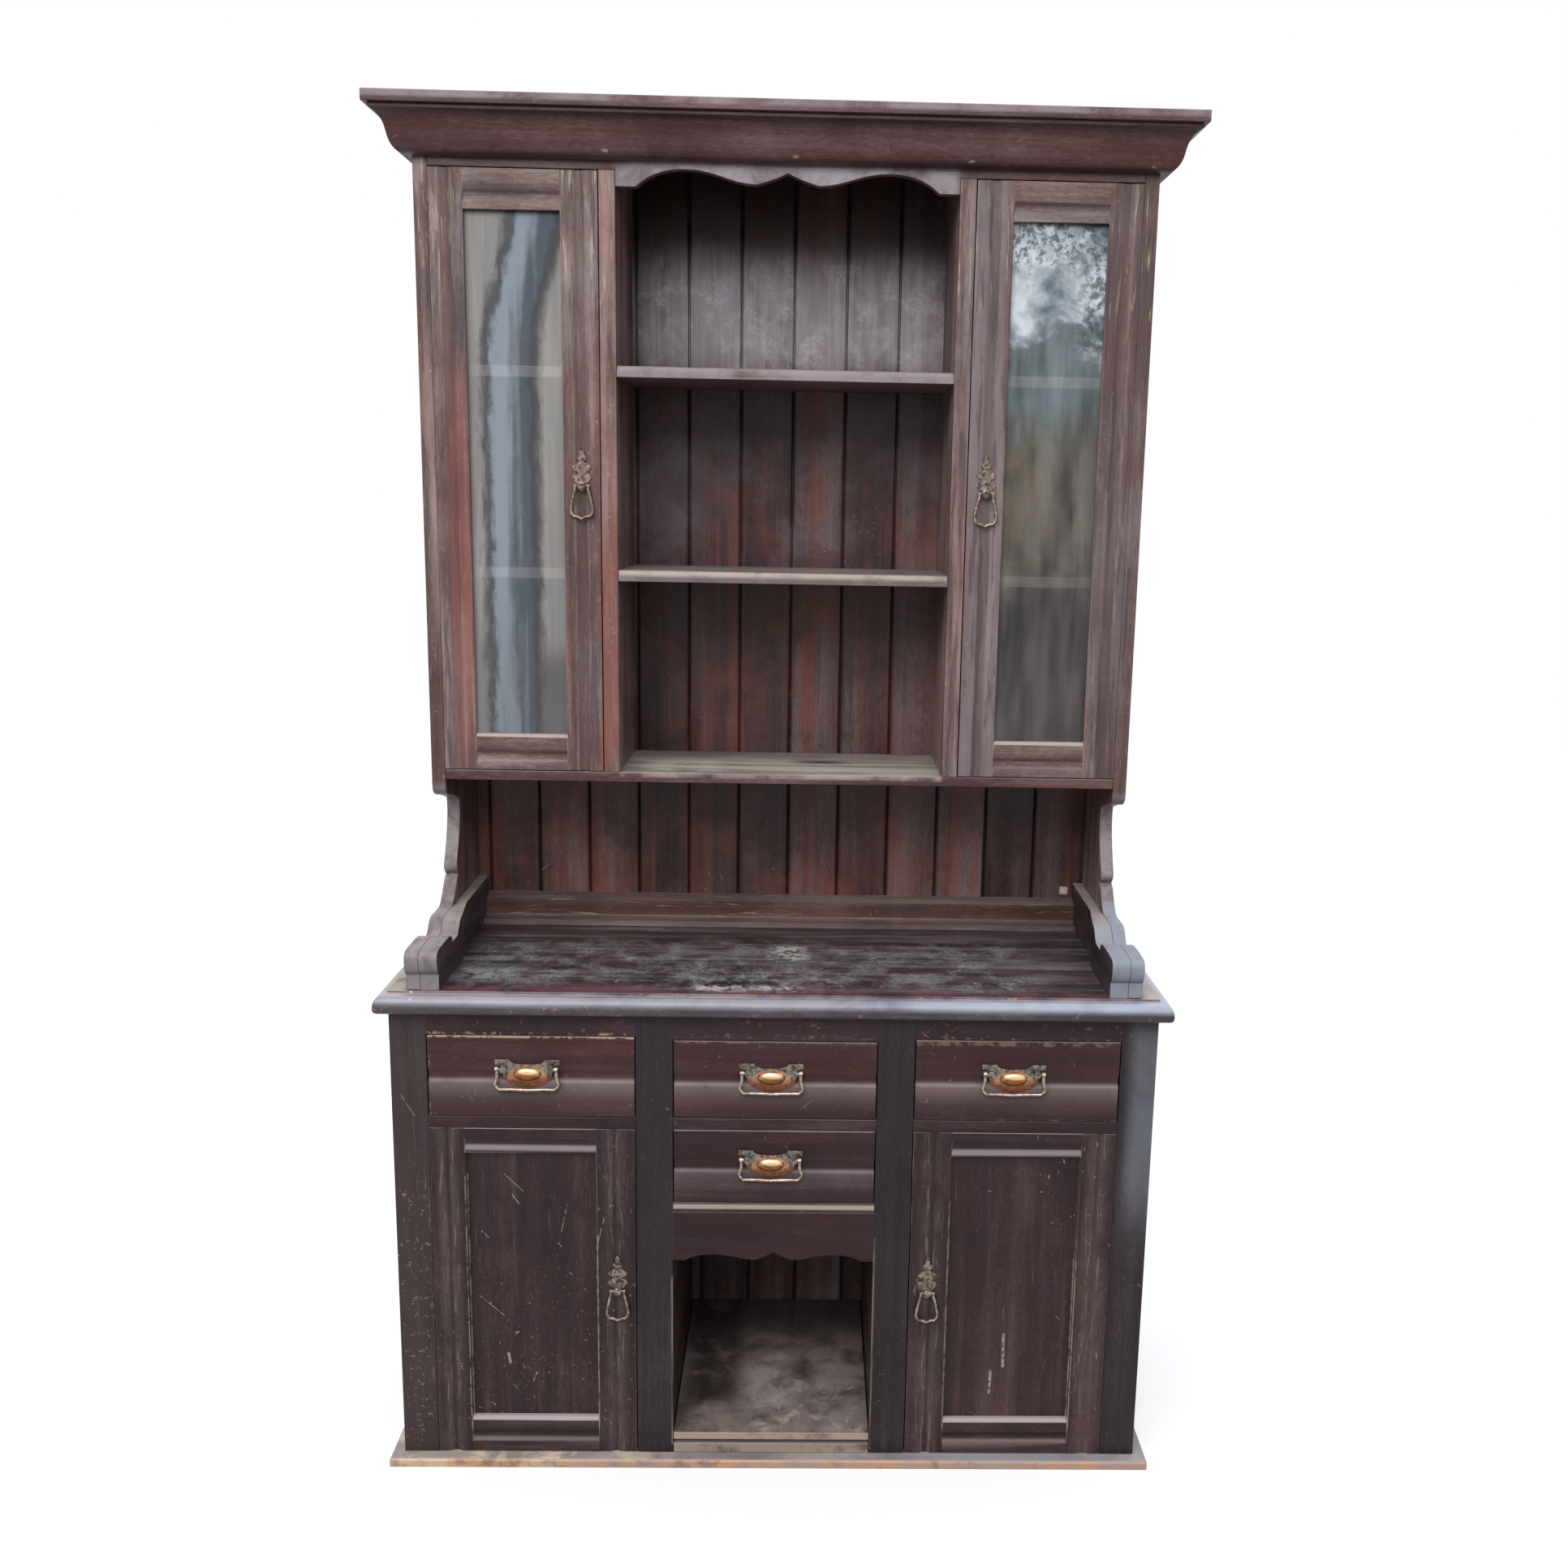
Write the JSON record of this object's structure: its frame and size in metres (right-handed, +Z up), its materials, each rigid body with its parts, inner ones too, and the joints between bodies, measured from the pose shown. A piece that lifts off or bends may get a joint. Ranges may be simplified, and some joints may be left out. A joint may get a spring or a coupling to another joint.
{
  "type": "dresser with hutch",
  "caption": "Dark stained wooden dresser with an open niche under its drawers and a glazed hutch under a moulded cornice.",
  "frame": {"origin": "middle of the footprint on the floor: the centre of the bounding box's bottom", "axes": "+X towards the right-hand end as seen from the front, +Y towards the back, +Z up; the front faces -Y"},
  "size_m": [1.257, 0.455, 2.142],
  "materials": {
    "base_wood": "dark stain, worn satin",
    "hutch_wood": "red-brown stain, worn satin",
    "top_wood": "dark stain, polished",
    "inner_wood": "dull, unpolished",
    "lining_wood": "bare pine",
    "aged_brass": "tarnished",
    "glass": "clear"
  },
  "bodies": {
    "carcass": {"base_back_boards": "inner_wood", "base_divider_left": "inner_wood", "base_divider_right": "inner_wood", "base_face_frame": "base_wood", "base_floor": "inner_wood", "base_side_left": "base_wood", "base_side_right": "base_wood", "cabinet_shelf_lower_left": "hutch_wood", "cabinet_shelf_lower_right": "hutch_wood", "cabinet_shelf_upper_left": "hutch_wood", "cabinet_shelf_upper_right": "hutch_wood", "centre_shelf_lower": "hutch_wood", "centre_shelf_upper": "hutch_wood", "cornice_board": "hutch_wood", "cornice_moulding": "hutch_wood", "drawer_bearer_centre_lower": "base_wood", "drawer_bearer_centre_upper": "base_wood", "drawer_bearer_left": "base_wood", "drawer_bearer_right": "base_wood", "dresser_top": "top_wood", "frieze": "hutch_wood", "gallery": "top_wood", "hutch_back_boards": "hutch_wood", "hutch_divider_left": "hutch_wood", "hutch_divider_right": "hutch_wood", "hutch_floor": "hutch_wood", "hutch_side_left": "hutch_wood", "hutch_side_right": "hutch_wood", "niche_floor": "inner_wood", "plinth": "base_wood"},
    "drawer_left": {"drawer_front_left": "base_wood", "drawer_box_left": "lining_wood", "drawer_pull_plate_left": "aged_brass"},
    "bail_left": {"drawer_pull_bail_left": "aged_brass"},
    "drawer_right": {"drawer_front_right": "base_wood", "drawer_box_right": "lining_wood", "drawer_pull_plate_right": "aged_brass"},
    "bail_right": {"drawer_pull_bail_right": "aged_brass"},
    "drawer_centre_upper": {"drawer_front_centre_upper": "base_wood", "drawer_box_centre_upper": "lining_wood", "drawer_pull_plate_centre_upper": "aged_brass"},
    "bail_centre_upper": {"drawer_pull_bail_centre_upper": "aged_brass"},
    "drawer_centre_lower": {"drawer_front_centre_lower": "base_wood", "drawer_box_centre_lower": "lining_wood", "drawer_pull_plate_centre_lower": "aged_brass"},
    "bail_centre_lower": {"drawer_pull_bail_centre_lower": "aged_brass"},
    "base_door_left": {"base_door_left": "base_wood", "base_door_drop_plate_left": "aged_brass"},
    "base_loop_left": {"base_door_drop_loop_left": "aged_brass"},
    "hutch_door_left": {"hutch_door_frame_left": "hutch_wood", "hutch_door_pane_left": "glass", "hutch_door_drop_plate_left": "aged_brass"},
    "hutch_loop_left": {"hutch_door_drop_loop_left": "aged_brass"},
    "base_door_right": {"base_door_right": "base_wood", "base_door_drop_plate_right": "aged_brass"},
    "base_loop_right": {"base_door_drop_loop_right": "aged_brass"},
    "hutch_door_right": {"hutch_door_frame_right": "hutch_wood", "hutch_door_pane_right": "glass", "hutch_door_drop_plate_right": "aged_brass"},
    "hutch_loop_right": {"hutch_door_drop_loop_right": "aged_brass"}
  },
  "joints": [
    {"name": "drawer_left_slide", "type": "slide", "parent": "carcass", "child": "drawer_left", "axis": [0, -1, 0], "range_m": [0, 0.28]},
    {"name": "bail_left_lift", "type": "hinge", "parent": "drawer_left", "child": "bail_left", "pos_m": [-0.38712, -0.2099, 0.682], "axis": [-1, 0, 0], "range_deg": [0, 90]},
    {"name": "drawer_right_slide", "type": "slide", "parent": "carcass", "child": "drawer_right", "axis": [0, -1, 0], "range_m": [0, 0.28]},
    {"name": "bail_right_lift", "type": "hinge", "parent": "drawer_right", "child": "bail_right", "pos_m": [0.37512, -0.2099, 0.682], "axis": [-1, 0, 0], "range_deg": [0, 90]},
    {"name": "drawer_centre_upper_slide", "type": "slide", "parent": "carcass", "child": "drawer_centre_upper", "axis": [0, -1, 0], "range_m": [0, 0.28]},
    {"name": "bail_centre_upper_lift", "type": "hinge", "parent": "drawer_centre_upper", "child": "bail_centre_upper", "pos_m": [-0.006, -0.2099, 0.6795], "axis": [-1, 0, 0], "range_deg": [0, 90]},
    {"name": "drawer_centre_lower_slide", "type": "slide", "parent": "carcass", "child": "drawer_centre_lower", "axis": [0, -1, 0], "range_m": [0, 0.28]},
    {"name": "bail_centre_lower_lift", "type": "hinge", "parent": "drawer_centre_lower", "child": "bail_centre_lower", "pos_m": [-0.006, -0.2099, 0.5345], "axis": [-1, 0, 0], "range_deg": [0, 90]},
    {"name": "base_door_left_swing", "type": "hinge", "parent": "carcass", "child": "base_door_left", "pos_m": [-0.54335, -0.2025, 0.29875], "axis": [0, 0, -1], "range_deg": [0, 110]},
    {"name": "base_loop_left_lift", "type": "hinge", "parent": "base_door_left", "child": "base_loop_left", "pos_m": [-0.24925, -0.2086, 0.30696], "axis": [-1, 0, 0], "range_deg": [0, 90]},
    {"name": "hutch_door_left_swing", "type": "hinge", "parent": "carcass", "child": "hutch_door_left", "pos_m": [-0.54785, -0.0105, 1.5835], "axis": [0, 0, -1], "range_deg": [0, 110]},
    {"name": "hutch_loop_left_lift", "type": "hinge", "parent": "hutch_door_left", "child": "hutch_loop_left", "pos_m": [-0.3195, -0.0166, 1.577], "axis": [-1, 0, 0], "range_deg": [0, 90]},
    {"name": "base_door_right_swing", "type": "hinge", "parent": "carcass", "child": "base_door_right", "pos_m": [0.54335, -0.2025, 0.29875], "axis": [0, 0, 1], "range_deg": [0, 110]},
    {"name": "base_loop_right_lift", "type": "hinge", "parent": "base_door_right", "child": "base_loop_right", "pos_m": [0.24925, -0.2086, 0.30696], "axis": [-1, 0, 0], "range_deg": [0, 90]},
    {"name": "hutch_door_right_swing", "type": "hinge", "parent": "carcass", "child": "hutch_door_right", "pos_m": [0.54785, -0.0105, 1.5835], "axis": [0, 0, 1], "range_deg": [0, 110]},
    {"name": "hutch_loop_right_lift", "type": "hinge", "parent": "hutch_door_right", "child": "hutch_loop_right", "pos_m": [0.3195, -0.0166, 1.577], "axis": [-1, 0, 0], "range_deg": [0, 90]}
  ]
}
